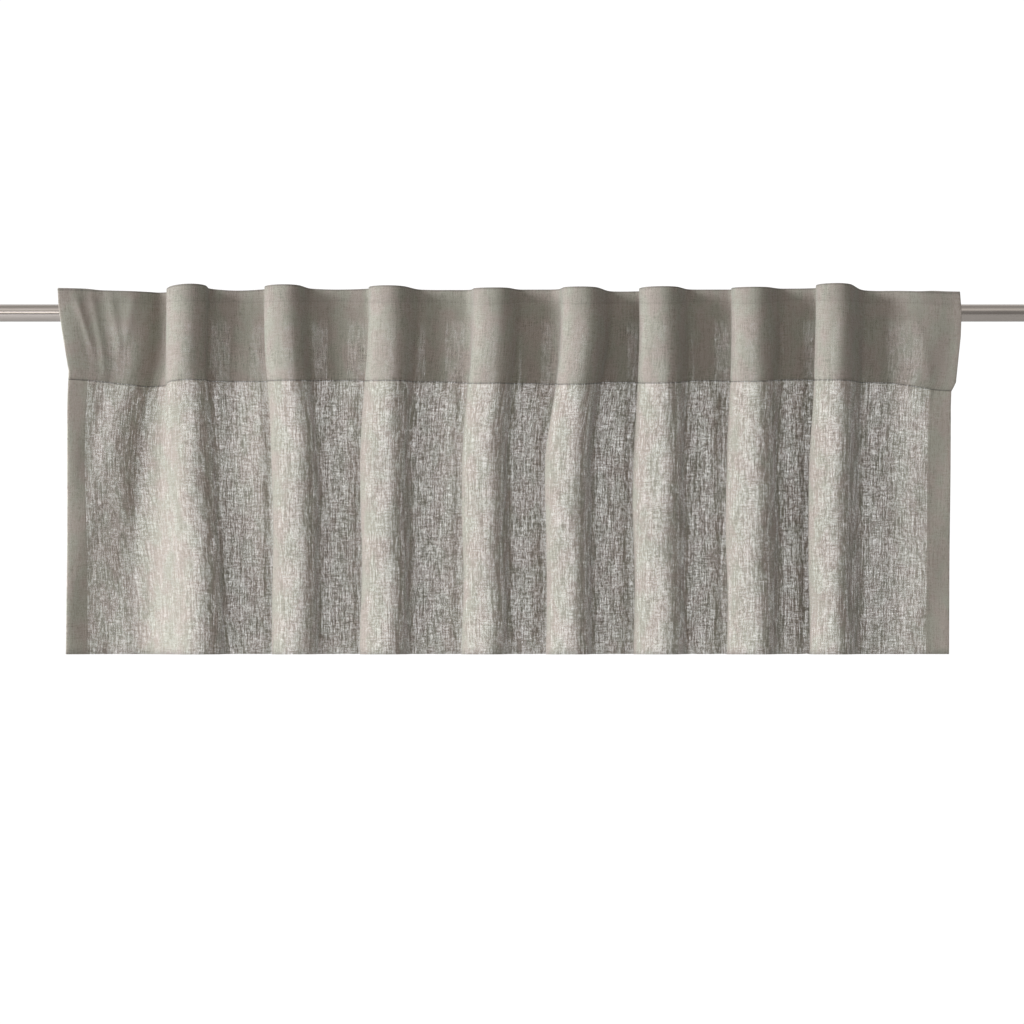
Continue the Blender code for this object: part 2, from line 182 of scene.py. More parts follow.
def smooth(value, low, high):
    share = np.clip((value - low) / (high - low), 0.0, 1.0)
    return share * share * (3 - 2 * share)


def blend(at_rod, at_bottom, settled):
    return np.asarray(at_rod) + (np.asarray(at_bottom) - np.asarray(at_rod)) * settled


def crest(half_width, left, right, squareness):
    """The turn over a crest, as its length, how much it rises, and its headings along the way."""
    share = np.linspace(-1.0, 1.0, CREST_SAMPLES)
    turned = np.sign(share) * np.abs(share) ** squareness
    heading = (left - right) / 2 - (left + right) / 2 * turned
    middle = (heading[1:] + heading[:-1]) / 2
    length = half_width * (math.sin(left) + math.sin(right)) / np.cos(middle).mean()
    return length, length * np.sin(middle).mean(), heading


def pleat(pitch, cloth, left_foot, crest_radius, left, right, shift, squareness):
    """A fold in plan, from valley to valley: level foot, round foot, flank, round crest, and down again.

    The level feet and the two flanks take the lengths that fit this cloth into this pitch.
    """
    left_bend, right_bend = left_foot + crest_radius, RIGHT_FOOT + crest_radius
    over, rise, over_headings = crest(crest_radius, left, right, squareness)
    foot, left_run, right_run = np.linalg.solve(
        [
            [2.0, math.cos(left), math.cos(right)],
            [2.0, 1.0, 1.0],
            [0.0, math.sin(left), -math.sin(right)],
        ],
        [
            pitch - left_bend * math.sin(left) - right_bend * math.sin(right),
            cloth - left_foot * left - RIGHT_FOOT * right - over,
            RIGHT_FOOT * (1 - math.cos(right)) - left_foot * (1 - math.cos(left)) - rise,
        ],
    )
    lengths = [
        foot + shift,
        left_foot * left,
        left_run,
        over,
        right_run,
        RIGHT_FOOT * right,
        foot - shift,
    ]
    knots = np.concatenate([[0.0], np.cumsum(np.maximum(lengths, 0.0))])
    along = np.linspace(0.0, knots[-1], PLEAT_SAMPLES + 1)
    middle = (along[1:] + along[:-1]) / 2
    places = [*knots[:3], *np.linspace(knots[3], knots[4], CREST_SAMPLES), *knots[5:]]
    headings = [0.0, 0.0, left, *over_headings, -right, 0.0, 0.0]
    heading = sum(np.interp(middle + off, places, headings) for off in (-EASE, 0.0, EASE)) / 3
    x = np.concatenate([[0.0], np.cumsum(np.cos(heading))])
    forward = np.concatenate([[0.0], np.cumsum(np.sin(heading))]) * knots[-1] / PLEAT_SAMPLES
    return x * pitch / x[-1], forward - forward[-1] * along / knots[-1], knots[1] * cloth / knots[-1]


def flap(edge_x, valley_x, forward, bulge, flattened):
    """An end of the cloth in plan, from its free edge in to the valley at its strap."""
    share = np.linspace(0.0, 1.0, PLEAT_SAMPLES + 1)
    lean = blend(*EDGE_LEAN, flattened)
    fall = (1 - share ** blend(*EDGE_POWER, flattened)) ** blend(*EDGE_EASE, flattened)
    fall = lean * (1 - share) + (1 - lean) * fall
    run = blend(*forward, flattened) * fall + blend(*bulge, flattened) * np.sin(math.pi * share) ** 2
    return edge_x + (valley_x - edge_x) * share, run


def flowing(s, heights):
    """A height along the cloth that flows between the ends, the valleys and the crests."""
    middle = np.interp(np.arange(0.0, len(TAB_PLACES) - 0.9, 0.5), np.arange(len(TAB_PLACES)), TAB_PLACES)
    places = np.concatenate([[0.0], middle, [FLAT_WIDTH]])
    spot = np.clip(np.searchsorted(places, s, side="right") - 1, 0, len(places) - 2)
    share = smooth(s, places[spot], places[spot + 1])
    heights = np.asarray(heights)
    return heights[spot] + (heights[spot + 1] - heights[spot]) * share


def turn_depth(s):
    """How far below the top edge the turned-in strip ends."""
    depths = np.full(len(TOP_HEIGHTS), TURN_AT_VALLEYS)
    depths[2:-1:2] = TURN_AT_CRESTS
    return flowing(s, depths)


class Row:
    """The line of the cloth at one height, in plan, by its flat distance from the left edge."""

    def __init__(self, below_top):
        settled = float(smooth(below_top, FOLDS_SETTLE_FROM, FOLDS_SETTLE_TO))
        fallen = float(smooth(below_top, HEADING_DEPTH, DROP))
        self.below_top = below_top
        self.valley_y = VALLEY_Y + BODY_SETBACK * fallen
        valley_x = blend(VALLEYS_AT_ROD, VALLEYS_AT_BOTTOM, settled)
        valley_s = TAB_PLACES.copy()
        valley_s[0] = blend(LEFT_FLAP, LEFT_FLAP_AT_BOTTOM, fallen)
        turned = np.full(len(valley_s) - 1, settled)
        turned[0] = smooth(below_top, *FIRST_FOLD_TURNS)
        flattened = float(smooth(below_top, *FLAPS_FLATTEN))
        radii = blend(CREST_RADII_AT_ROD, CREST_RADII_AT_BOTTOM, turned)
        feet = blend(LEFT_FEET_AT_ROD, LEFT_FEET_AT_BOTTOM, turned)
        shifts = blend(CREST_SHIFTS_AT_ROD, CREST_SHIFTS_AT_BOTTOM, turned)
        square = blend(SQUARENESS_AT_ROD, SQUARENESS_AT_BOTTOM, turned)
        left = np.radians(blend(LEFT_FLANKS_AT_ROD, LEFT_FLANKS_AT_BOTTOM, turned))
        right = np.radians(blend(RIGHT_FLANKS_AT_ROD, RIGHT_FLANKS_AT_BOTTOM, turned))
        left_x = np.interp(below_top, EDGE_HEIGHTS, LEFT_EDGE)
        right_x = np.interp(below_top, EDGE_HEIGHTS, RIGHT_EDGE)
        runs = [flap(left_x, valley_x[0], LEFT_EDGE_FORWARD, LEFT_BULGE, flattened)]
        self.feet = []
        for k in range(len(valley_x) - 1):
            pitch = valley_x[k + 1] - valley_x[k]
            cloth = valley_s[k + 1] - valley_s[k]
            shape = (feet[k], radii[k], left[k], right[k], shifts[k], square[k])
            x, forward, foot = pleat(pitch, cloth, *shape)
            self.feet.append(valley_s[k] + foot)
            runs.append((valley_x[k] + x, forward))
        x, forward = flap(right_x, valley_x[-1], RIGHT_EDGE_FORWARD, RIGHT_BULGE, flattened)
        runs.append((x[::-1], forward[::-1]))
        self.join(runs, [0.0, *valley_s, FLAT_WIDTH])

    def join(self, runs, ends):
        """Joins the runs, and gives each point its flat distance from the left edge."""
        flat, x, forward = [], [], []
        for (run_x, run_forward), start, end in zip(runs, ends[:-1], ends[1:]):
            steps = np.hypot(np.diff(run_x), np.diff(run_forward))
            along = np.concatenate([[0.0], np.cumsum(steps)])
            flat.append(start + (end - start) * along[:-1] / along[-1])
            x.append(run_x[:-1])
            forward.append(run_forward[:-1])
        self.flat = np.concatenate([*flat, [FLAT_WIDTH]])
        self.x = np.concatenate([*x, [runs[-1][0][-1]]])
        self.forward = np.concatenate([*forward, [runs[-1][1][-1]]])
        along_x, along_y = np.gradient(self.x), -np.gradient(self.forward)
        length = np.hypot(along_x, along_y)
        self.along_x, self.along_y = along_x / length, along_y / length

    def heights(self, s, forward):
        """Heights of the cloth. Below the seam the folds come to ride a little higher than the valleys."""
        top, seam = flowing(s, TOP_HEIGHTS), flowing(s, SEAM_HEIGHTS)
        if self.below_top <= HEADING_DEPTH:
            return top + (seam - top) * self.below_top / HEADING_DEPTH
        share = (self.below_top - HEADING_DEPTH) / (DROP - HEADING_DEPTH)
        bottom = BOTTOM_Z + FOLD_LIFT_AT_BOTTOM * forward / (TAB_PITCH / 3)
        return seam + (bottom - seam) * share

    def points(self, s, behind):
        """Places of the cloth at flat distances s, each moved back from the front layer by behind."""
        inside = np.clip(s, 0.0, FLAT_WIDTH)
        x = np.interp(inside, self.flat, self.x)
        forward = np.interp(inside, self.flat, self.forward)
        along_x = np.interp(inside, self.flat, self.along_x)
        along_y = np.interp(inside, self.flat, self.along_y)
        length = np.hypot(along_x, along_y)
        along_x, along_y = along_x / length, along_y / length
        past = s - inside
        back = behind - creases(inside, self.below_top)
        for place, depth in zip(self.feet, FOOT_DIPS):
            near = np.exp(-(((inside - place) / FOOT_DIP_WIDTH) ** 2))
            back = back + depth * near * smooth(self.below_top, *FOOT_DIPS_FROM)
        x = x + along_x * past - along_y * back
        y = self.valley_y - forward + along_y * past + along_x * back
        return np.stack([x, y, self.heights(inside, forward)], axis=1)


# Creases

# How a crease fades in and out, as shares of its length
RIDGE_RISES = (-0.15, 0.2)
RIDGE_FALLS = (0.75, 1.15)


def ridge(s, t, start, end, width):
    """A soft ridge along a line on the flat cloth, fading out at both ends."""
    (s0, t0), (s1, t1) = start, end
    run_s, run_t = s1 - s0, t1 - t0
    length = math.hypot(run_s, run_t)
    along = ((s - s0) * run_s + (t - t0) * run_t) / length ** 2
    off = ((s - s0) * run_t - (t - t0) * run_s) / length
    return np.exp(-((off / width) ** 2)) * smooth(along, *RIDGE_RISES) * (1 - smooth(along, *RIDGE_FALLS))


# Each crease of the two flaps: where it starts and ends on the flat cloth, its width and its height
FLAP_CREASES = (
    ((0.018, 0.006), (0.034, 0.078), 0.0042, 0.0016),
    ((0.036, 0.004), (0.047, 0.100), 0.0042, 0.0018),
    ((0.056, 0.002), (0.065, 0.076), 0.0042, 0.0015),
    ((0.084, 0.004), (0.068, 0.060), 0.0065, 0.0014),
    ((FLAT_WIDTH - 0.055, 0.020), (FLAT_WIDTH - 0.028, 0.098), 0.0060, 0.0010),
    ((FLAT_WIDTH - 0.082, 0.012), (FLAT_WIDTH - 0.074, 0.085), 0.0050, 0.0008),
)
SEAM_GROOVE = 0.0007
SEAM_GROOVE_WIDTH = 0.0016
PUCKER_HEIGHT = 0.00022
PUCKERS_BELOW_SEAM = 0.003
PUCKERS_FADE = 0.006
# How close the puckers are, and how much and how often they sway and swell along the seam
PUCKER_RUN = 690.0
PUCKER_SWAY = (2.0, 71.0)
PUCKER_SWELL = (0.4, 113.0)
# Below the heading the cloth dips back just before each fold rises
FOOT_DIPS = (0.0, 0.0048, 0.0045, 0.0036, 0.0042, 0.0044, 0.0044, 0.0048)
FOOT_DIP_WIDTH = 0.0070
FOOT_DIPS_FROM = (0.085, 0.130)
# How far each fold's right foot spreads beside its strap, and how far left of the strap that is
SPREADS = (0.0, 0.0010, 0.0020, 0.0020, 0.0025, 0.0025, 0.0020, 0.0025)
SPREADS_AT = (0.030, 0.033, 0.026, 0.021, 0.016, 0.020, 0.019, 0.021)
SPREAD_WIDTH = 0.0055
SPREADS_BELOW_TOP = 0.020
SPREADS_FADE = 0.020
# The cloth's slight drift: its height, how soon it is free of the heading, and the size, run across, run down
# and start of each of its waves
DRIFT = 0.0007
DRIFT_IN_HEADING = 0.3
DRIFT_FREE_BY = 0.12
DRIFT_WAVES = ((1.0, 37.0, 21.0, 0.7), (0.7, 83.0, -34.0, 2.1), (0.5, 149.0, 47.0, 4.0))


def creases(s, t):
    """How far the cloth stands forward of its even folds."""
    moved = np.zeros_like(s)
    for start, end, width, height in FLAP_CREASES:
        moved += height * ridge(s, t, start, end, width)
    moved -= SEAM_GROOVE * math.exp(-(((t - HEADING_DEPTH) / SEAM_GROOVE_WIDTH) ** 2))
    below_seam = (t - HEADING_DEPTH - PUCKERS_BELOW_SEAM) / PUCKERS_FADE
    sway, sway_run = PUCKER_SWAY
    swell, swell_run = PUCKER_SWELL
    pucker = np.sin(s * PUCKER_RUN + sway * np.sin(s * sway_run))
    pucker *= 1 - swell + swell * np.sin(s * swell_run)
    moved += PUCKER_HEIGHT * pucker * math.exp(-(below_seam ** 2))
    for place, spread, away in zip(TAB_PLACES[1:], SPREADS, SPREADS_AT):
        reach = np.exp(-(((s - place + away) / SPREAD_WIDTH) ** 2))
        moved += spread * reach * math.exp(-(((t - SPREADS_BELOW_TOP) / SPREADS_FADE) ** 2))
    free = DRIFT_IN_HEADING + (1 - DRIFT_IN_HEADING) * smooth(t, 0.0, DRIFT_FREE_BY)
    waves = sum(size * np.sin(s * across + t * down + start) for size, across, down, start in DRIFT_WAVES)
    return moved + DRIFT * free * waves


# Sheets


def new_object(name, data):
    made = bpy.data.objects.new(name, data)
    bpy.context.scene.collection.objects.link(made)
    return made


def sheet_object(name, rows, maps, thickness, finish):
    """A closed sheet of even thickness on a grid of points, with its named pattern maps."""
    count = len(rows[0])
    faces = [
        (r * count + c, (r + 1) * count + c, (r + 1) * count + c + 1, r * count + c + 1)
        for r in range(len(rows) - 1)
        for c in range(count - 1)
    ]
    mesh = bpy.data.meshes.new(name)
    mesh.from_pydata(np.concatenate(rows).tolist(), [], faces)
    corners = np.empty(len(mesh.loops), dtype=np.int32)
    mesh.loops.foreach_get("vertex_index", corners)
    for label, flats in maps.items():
        pattern = mesh.uv_layers.new(name=label)
        pattern.data.foreach_set("uv", np.concatenate(flats)[corners].ravel())
    mesh.materials.append(finish)
    mesh.shade_smooth()
    made = new_object(name, mesh)
    solid = made.modifiers.new("thickness", "SOLIDIFY")
    solid.thickness = thickness
    solid.offset = 0.0
    return made


def half_turn(steps):
    angles = np.linspace(0.0, math.pi, steps + 1)[1:-1]
    return np.sin(angles), np.cos(angles)


def stops(low, high, step, lines):
    """Even stops from low to high, with closer ones beside each sewn line."""
    places = list(np.linspace(low, high, max(1, round((high - low) / step)) + 1))
    for line in lines:
        near = [line + offset for offset in BESIDE_SEWN_LINE]
        near = [place for place in near if low < place < high]
        places = [place for place in places if place in (low, high) or abs(place - line) > CLEAR_OF_SEWN_LINE]
        places += near
    return np.array(sorted(set(places)))


def cut_across():
    """The cloth's line across its width, as (flat distance, layers behind the front, pattern distance)."""
    sines, cosines = half_turn(TURN_STEPS)
    tuck_s = np.linspace(HEM_TUCK_SHORT, HEM_WIDTH, HEM_POINTS)
    back_s = np.linspace(HEM_WIDTH, 0.0, HEM_POINTS)
    tuck = np.stack([tuck_s, np.full(HEM_POINTS, 1.0), tuck_s - 2 * HEM_WIDTH], axis=1)
    inner = np.stack([HEM_WIDTH + sines * LAYER / 2, 1.5 - cosines / 2, -HEM_WIDTH + 0 * sines], axis=1)
    back = np.stack([back_s, np.full(HEM_POINTS, 2.0), -back_s], axis=1)
    outer = np.stack([-sines * LAYER, 1.0 + cosines, 0 * sines], axis=1)
    hem = np.concatenate([tuck, inner, back, outer])
    front = stops(0.0, FLAT_WIDTH, COLUMN_STEP, (HEM_LINE, FLAT_WIDTH - HEM_LINE))
    middle = np.stack([front, 0 * front, front], axis=1)
    mirrored = hem[::-1] * (-1, 1, -1) + (FLAT_WIDTH, 0, FLAT_WIDTH)
    return np.concatenate([hem, middle, mirrored])


def heading_thickness(s):
    """How far the turned-over back layer lies behind the front layer."""
    from_edge = np.minimum(s, FLAT_WIDTH - s)
    in_hem = 1 - smooth(from_edge, HEM_WIDTH + LAYER, HEM_WIDTH + HEM_RELAX)
    return LAYER * (1 + 2 * HEM_LAYERS * in_hem)


def panel(finish):
    """The cloth, row by row, from the turned-over layer's edge over the top and down the front."""
    across = cut_across()
    s, behind, pattern = across[:, 0], across[:, 1] * LAYER, across[:, 2]
    apart = heading_thickness(s)
    down_heading = stops(0.0, HEADING_DEPTH, HEADING_STEP, (HEADING_DEPTH,))
    down_body = stops(HEADING_DEPTH, DROP, BODY_STEP, (HEADING_DEPTH,))[1:]
    rows, flats = [], []
    for t in np.linspace(HEADING_DEPTH, 0.0, BACK_STEPS + 1):
        rows.append(Row(t).points(s, apart - behind))
        flats.append(np.stack([pattern, np.full_like(s, t)], axis=1))
    sines, cosines = half_turn(TURN_STEPS)
    radius = apart / 2 - behind
    top = Row(0.0)
    for sine, cosine in zip(sines, cosines):
        turned = top.points(s, apart / 2 + radius * cosine)
        turned[:, 2] += radius * sine
        rows.append(turned)
        flats.append(np.stack([pattern, cosine * radius], axis=1))
    for t in np.concatenate([down_heading, down_body]):
        rows.append(Row(t).points(s, behind))
        flats.append(np.stack([pattern, np.full_like(s, -t)], axis=1))
    turn = turn_depth(np.clip(s, 0.0, FLAT_WIDTH))
    strips = [np.stack([np.abs(flat[:, 1]) - turn, turn], axis=1) for flat in flats]
    return sheet_object("valance_panel", rows, {"cloth": flats, "strip": strips}, CLOTH, finish)


def strap_column(s, rise):
    """One line of a strap, from its sewn top end over the rod to its sewn bottom end."""
    on_back = LAYER + CLOTH / 2 + SEAT_GAP + TAB_THICKNESS / 2
    around = ROD_RADIUS + SEAT_GAP + TAB_THICKNESS / 2
    place = np.array([s])

    def sewn(t):
        return Row(t).points(place, np.array([on_back + creases(place, t)[0]]))[0]

    sewn_top = np.linspace(TAB_TOP_BELOW_EDGE, TAB_TOP_BELOW_EDGE + TAB_SEWN, TAB_SEWN_POINTS)
    sewn_bottom = np.linspace(HEADING_DEPTH - TAB_SEWN, HEADING_DEPTH, TAB_SEWN_POINTS)
    top = [sewn(t) for t in sewn_top]
    bottom = [sewn(t) for t in sewn_bottom]
    leaves, lands = top[-1], bottom[0]
    start = math.atan2(leaves[2], leaves[1]) - math.acos(around / math.hypot(leaves[1], leaves[2]))
    stop = math.atan2(lands[2], lands[1]) + math.acos(around / math.hypot(lands[1], lands[2]))
    arc = []
    for share in np.linspace(0.0, 1.0, TAB_ARC_STEPS + 1):
        angle = start + (stop - start) * share
        x = leaves[0] + (lands[0] - leaves[0]) * share
        arc.append(np.array([x, around * math.cos(angle), around * math.sin(angle)]))
    slack = lands + (0.0, TAB_LIFT_OFF / 2, TAB_LIFT_OFF)
    run = [arc[-1] + (slack - arc[-1]) * share for share in np.linspace(0.0, 1.0, TAB_RUN_POINTS)[1:]]
    points = np.array([*top, *arc, *run, *bottom])
    steps = np.linalg.norm(np.diff(points, axis=0), axis=1)
    along = np.concatenate([[0.0], np.cumsum(steps)])
    return points, np.stack([np.full(len(points), rise), along], axis=1)


def strap(number, finish):
    middle = TAB_PLACES[number - 1]
    offsets = np.linspace(-TAB_WIDTH / 2, TAB_WIDTH / 2, TAB_COLUMNS + 1)
    columns = [strap_column(middle + offset, offset) for offset in offsets]
    rows = [points for points, _ in columns]
    flats = [flat for _, flat in columns]
    return sheet_object(f"strap_{number}", rows, {"cloth": flats}, TAB_THICKNESS, finish)


# Turned pieces


def turned_object(name, profile, finish):
    """A smooth solid turned about the rod's axis, from a closed profile of (along the axis, radius)."""
    points, faces = [], []
    count = len(profile)
    for side in range(ROD_SIDES):
        angle = 2 * math.pi * side / ROD_SIDES
        points += [(a, r * math.cos(angle), r * math.sin(angle)) for a, r in profile]
    for side in range(ROD_SIDES):
        here, there = side * count, (side + 1) % ROD_SIDES * count
        for i in range(count):
            j = (i + 1) % count
            faces.append((here + i, here + j, there + j, there + i))
    mesh = bpy.data.meshes.new(name)
    mesh.from_pydata(points, [], faces)
    tidy_mesh(mesh)
    mesh.materials.append(finish)
    mesh.shade_smooth()
    mesh.set_sharp_from_angle(angle=math.radians(SHARP_ANGLE))
    return new_object(name, mesh)


def tidy_mesh(mesh):
    """Merges points that fall on the axis, and turns every face outwards."""
    work = bmesh.new()
    work.from_mesh(mesh)
    bmesh.ops.remove_doubles(work, verts=work.verts, dist=SAME_POINT)
    bmesh.ops.recalc_face_normals(work, faces=work.faces)
    work.to_mesh(mesh)
    work.free()


def broken_edge(corner_along, corner_radius, towards_middle, steps=4):
    """The outer end edge of a turned piece, rounded by the broken edge's radius."""
    centre_along = corner_along + towards_middle * EDGE_BREAK
    centre_radius = corner_radius - EDGE_BREAK
    return [
        (
            centre_along - towards_middle * EDGE_BREAK * math.sin(angle),
            centre_radius + EDGE_BREAK * math.cos(angle),
        )
        for angle in np.linspace(0.0, math.pi / 2, steps)
    ]


def rod(finish):
    half, inner = ROD_LENGTH / 2 - PLUG_HEAD - SEAT_GAP, ROD_RADIUS - ROD_WALL
    right = broken_edge(half, ROD_RADIUS, -1) + [(half, inner)]
    left = [(-half, inner)] + broken_edge(-half, ROD_RADIUS, 1)[::-1]
    return turned_object("steel_rod", right + left, finish)


def plug(name, side, finish):
    spigot_radius = ROD_RADIUS - ROD_WALL - PLUG_PLAY
    outside = ROD_LENGTH / 2
    seat = outside - PLUG_HEAD
    inside = seat - PLUG_SPIGOT
    head = broken_edge(outside, ROD_RADIUS, -1)[::-1]
    profile = [(outside, 0.0), *head, (seat, ROD_RADIUS), (seat, spigot_radius)]
    profile += [(inside + EDGE_BREAK, spigot_radius), (inside, spigot_radius - EDGE_BREAK), (inside, 0.0)]
    return turned_object(name, [(side * along, radius) for along, radius in profile], finish)


# Node helpers


class Nodes:
    """Adds nodes to a material's tree, with short calls."""

    def __init__(self, name):
        self.material = bpy.data.materials.new(name)
        self.material.use_nodes = True
        self.tree = self.material.node_tree
        self.shader = self.tree.nodes["Principled BSDF"]

    def put(self, socket, value):
        if isinstance(value, bpy.types.NodeSocket):
            self.tree.links.new(value, socket)
        else:
            socket.default_value = value

    def add(self, kind, output=0, settings=None, **inputs):
        made = self.tree.nodes.new(kind)
        for key, value in (settings or {}).items():
            setattr(made, key, value)
        for key, value in inputs.items():
            self.put(made.inputs[key.replace("_", " ")], value)
        return made.outputs[output]

    def math(self, operation, *values):
        made = self.tree.nodes.new("ShaderNodeMath")
        made.operation = operation
        for socket, value in zip(made.inputs, values):
            self.put(socket, value)
        return made.outputs[0]

    def mapped(self, value, low, high, to_low, to_high, smooth_step=False):
        made = self.tree.nodes.new("ShaderNodeMapRange")
        made.interpolation_type = "SMOOTHSTEP" if smooth_step else "LINEAR"
        keys = ("Value", "From Min", "From Max", "To Min", "To Max")
        for key, item in zip(keys, (value, low, high, to_low, to_high)):
            self.put(made.inputs[key], item)
        return made.outputs[0]

    def vector(self, x, y, z=0.0):
        return self.add("ShaderNodeCombineXYZ", X=x, Y=y, Z=z)

    def noise(self, vector, scale, detail=1.0, roughness=0.5):
        return self.add(
            "ShaderNodeTexNoise",
            settings={"noise_dimensions": "3D"},
            Vector=vector,
            Scale=scale,
            Detail=detail,
            Roughness=roughness,
        )

    def product(self, *factors):
        made = factors[0]
        for factor in factors[1:]:
            made = self.math("MULTIPLY", made, factor)
        return made

    def even(self, value, low=0.3, high=0.7):
        """Stretches a noise so that it runs from 0 to 1."""
        return self.mapped(value, low, high, 0.0, 1.0)

    def colour_mix(self, share, first, second, blend_type="MIX"):
        made = self.tree.nodes.new("ShaderNodeMix")
        made.data_type = "RGBA"
        made.blend_type = blend_type
        self.put(made.inputs[0], share)
        self.put(made.inputs[6], first)
        self.put(made.inputs[7], second)
        return made.outputs[2]

    def bump(self, height, distance, strength=1.0):
        bump = self.add("ShaderNodeBump", Height=height, Distance=distance, Strength=strength)
        self.put(self.shader.inputs["Normal"], bump)


# Finishes

LINEN = (0.335, 0.300, 0.252, 1.0)
LINEN_DARK = (0.172, 0.150, 0.122, 1.0)
LINEN_LIGHT = (0.515, 0.465, 0.396, 1.0)
# Two slight casts that drift over the cloth, one greener and one pinker
CASTS = ((0.95, 1.0, 0.97, 1.0), (1.0, 0.96, 0.97, 1.0))
# The threads down and across the cloth: their pitch, the lengths of their slubs, and how open the gaps get
WARP = {"pitch": 0.00082, "long_slub": 0.030, "short_slub": 0.0080, "narrow": 0.02, "wide": 0.86, "seed": 3.0}
WEFT = {"pitch": 0.00084, "long_slub": 0.010, "short_slub": 0.0012, "narrow": 0.08, "wide": 0.72, "seed": 8.0}
THREAD_SWAY = 0.2
SLUB_RANGE = (0.40, 0.60)
GAP_SOFTNESS = 0.12
# The back layer: how open its weave looks above and below this depth, where the strip under the top edge, the
# rod and the straps lie close to it
ROD_SHADES_TO = 0.033
ROD_SHADES_OVER = 0.010
BACK_OPEN = (0.22, 0.78)
# Painted shade on lines darker than the cloth: how near and how far they reach, and the colour's share on
# them
SEAM_PAINTED_SHADE = (0.0003, 0.0011, 0.50)
TURN_PAINTED_SHADE = (0.0002, 0.0010, 0.86)
TOP_PAINTED_SHADE = (0.0004, 0.0022, 0.72)
SEAM_BELOW_HEADING = 0.0004
# Painted shade on the doubled heading and on the strip turned in under its top edge, where less light comes
# through the cloth:
# the colour's share on them, and half the width of their soft edge
HEADING_PAINTED_SHADE = (0.94, 0.0005)
STRIP_PAINTED_SHADE = (0.94, 0.0004)
# The straps' webbing: how far apart its ribs and its picks are
WEBBING_RIB = 0.0011
WEBBING_PICK = 0.0007
# The darkest and the lightest shade of each of the other finishes
WEBBING = ((0.27, 0.245, 0.205, 1.0), (0.45, 0.415, 0.36, 1.0))
STEEL = ((0.400, 0.352, 0.312, 1.0), (0.520, 0.470, 0.430, 1.0))
PLASTIC = ((0.30, 0.275, 0.25, 1.0), (0.36, 0.335, 0.31, 1.0))
THREAD = ((0.20, 0.178, 0.148, 1.0), (0.34, 0.31, 0.265, 1.0))


def threads(nodes, across, along, pitch, long_slub, short_slub, narrow, wide, seed):
    """One set of parallel threads: how open the gap beside each is, its slubs and its round height."""
    place = nodes.vector(nodes.math("MULTIPLY", across, 40.0), nodes.math("MULTIPLY", along, 9.0), seed)
    sway = nodes.math("MULTIPLY_ADD", nodes.noise(place, 1.0), THREAD_SWAY, -THREAD_SWAY / 2)
    turn = nodes.math("ADD", nodes.math("DIVIDE", across, pitch), sway)
    number = nodes.math("FLOOR", turn)
    centre = nodes.math("ABSOLUTE", nodes.math("MULTIPLY_ADD", nodes.math("FRACT", turn), 2.0, -1.0))
    apart = nodes.math("MULTIPLY", number, 7.31)
    far = nodes.noise(nodes.vector(apart, nodes.math("DIVIDE", along, long_slub), seed), 1.0, detail=1.0)
    near_place = nodes.vector(apart, nodes.math("DIVIDE", along, short_slub), seed + 20.0)
    near = nodes.noise(near_place, 1.0, detail=2.0, roughness=0.7)
    slub = nodes.math("MULTIPLY_ADD", near, 0.56, nodes.math("MULTIPLY", far, 0.44))
    opening = nodes.mapped(slub, *SLUB_RANGE, narrow, wide)
    edge = nodes.math("SUBTRACT", 1.0, opening)
    closed = nodes.math("SUBTRACT", edge, GAP_SOFTNESS)
    opened = nodes.math("ADD", edge, GAP_SOFTNESS)
    gap = nodes.mapped(centre, closed, opened, 0.0, 1.0, True)
    return gap, slub, centre


def pattern_place(nodes, label):
    """The two distances of one of the cloth's pattern maps."""
    split = nodes.tree.nodes.new("ShaderNodeSeparateXYZ")
    nodes.put(split.inputs[0], nodes.add("ShaderNodeUVMap", settings={"uv_map": label}))
    return split.outputs[0], split.outputs[1]


def open_weave(nodes, across, along, gap):
    """Where the cloth can be seen through. The hems are closed, and so is most of the back near the rod."""
    past_left = nodes.math("GREATER_THAN", across, 0.0)
    before_right = nodes.math("LESS_THAN", across, FLAT_WIDTH)
    behind = nodes.mapped(along, ROD_SHADES_TO - ROD_SHADES_OVER, ROD_SHADES_TO + ROD_SHADES_OVER, *BACK_OPEN)
    front = nodes.math("MAXIMUM", nodes.math("LESS_THAN", along, 0.0), behind)
    return nodes.math("MULTIPLY", gap, nodes.product(past_left, before_right, front))


def painted_shade(nodes, along):
    """The colour's share with painted shade: darker along the seam, the turned-in strip's line and the fold
    of the top edge, and over the doubled heading and the strip.
    """
    past_turn = pattern_place(nodes, "strip")[0]
    seam = nodes.math("ABSOLUTE", nodes.math("ADD", along, HEADING_DEPTH + SEAM_BELOW_HEADING))
    shares = []
    for distance, (near, far, share) in (
        (seam, SEAM_PAINTED_SHADE),
        (nodes.math("ABSOLUTE", past_turn), TURN_PAINTED_SHADE),
        (nodes.math("ABSOLUTE", along), TOP_PAINTED_SHADE),
    ):
        shares.append(nodes.mapped(distance, near, far, share, 1.0, True))
    share, soft = HEADING_PAINTED_SHADE
    shares.append(nodes.mapped(along, -HEADING_DEPTH - soft, -HEADING_DEPTH + soft, 1.0, share))
    share, soft = STRIP_PAINTED_SHADE
    shares.append(nodes.mapped(past_turn, -soft, soft, share, 1.0))
    return nodes.product(*shares)


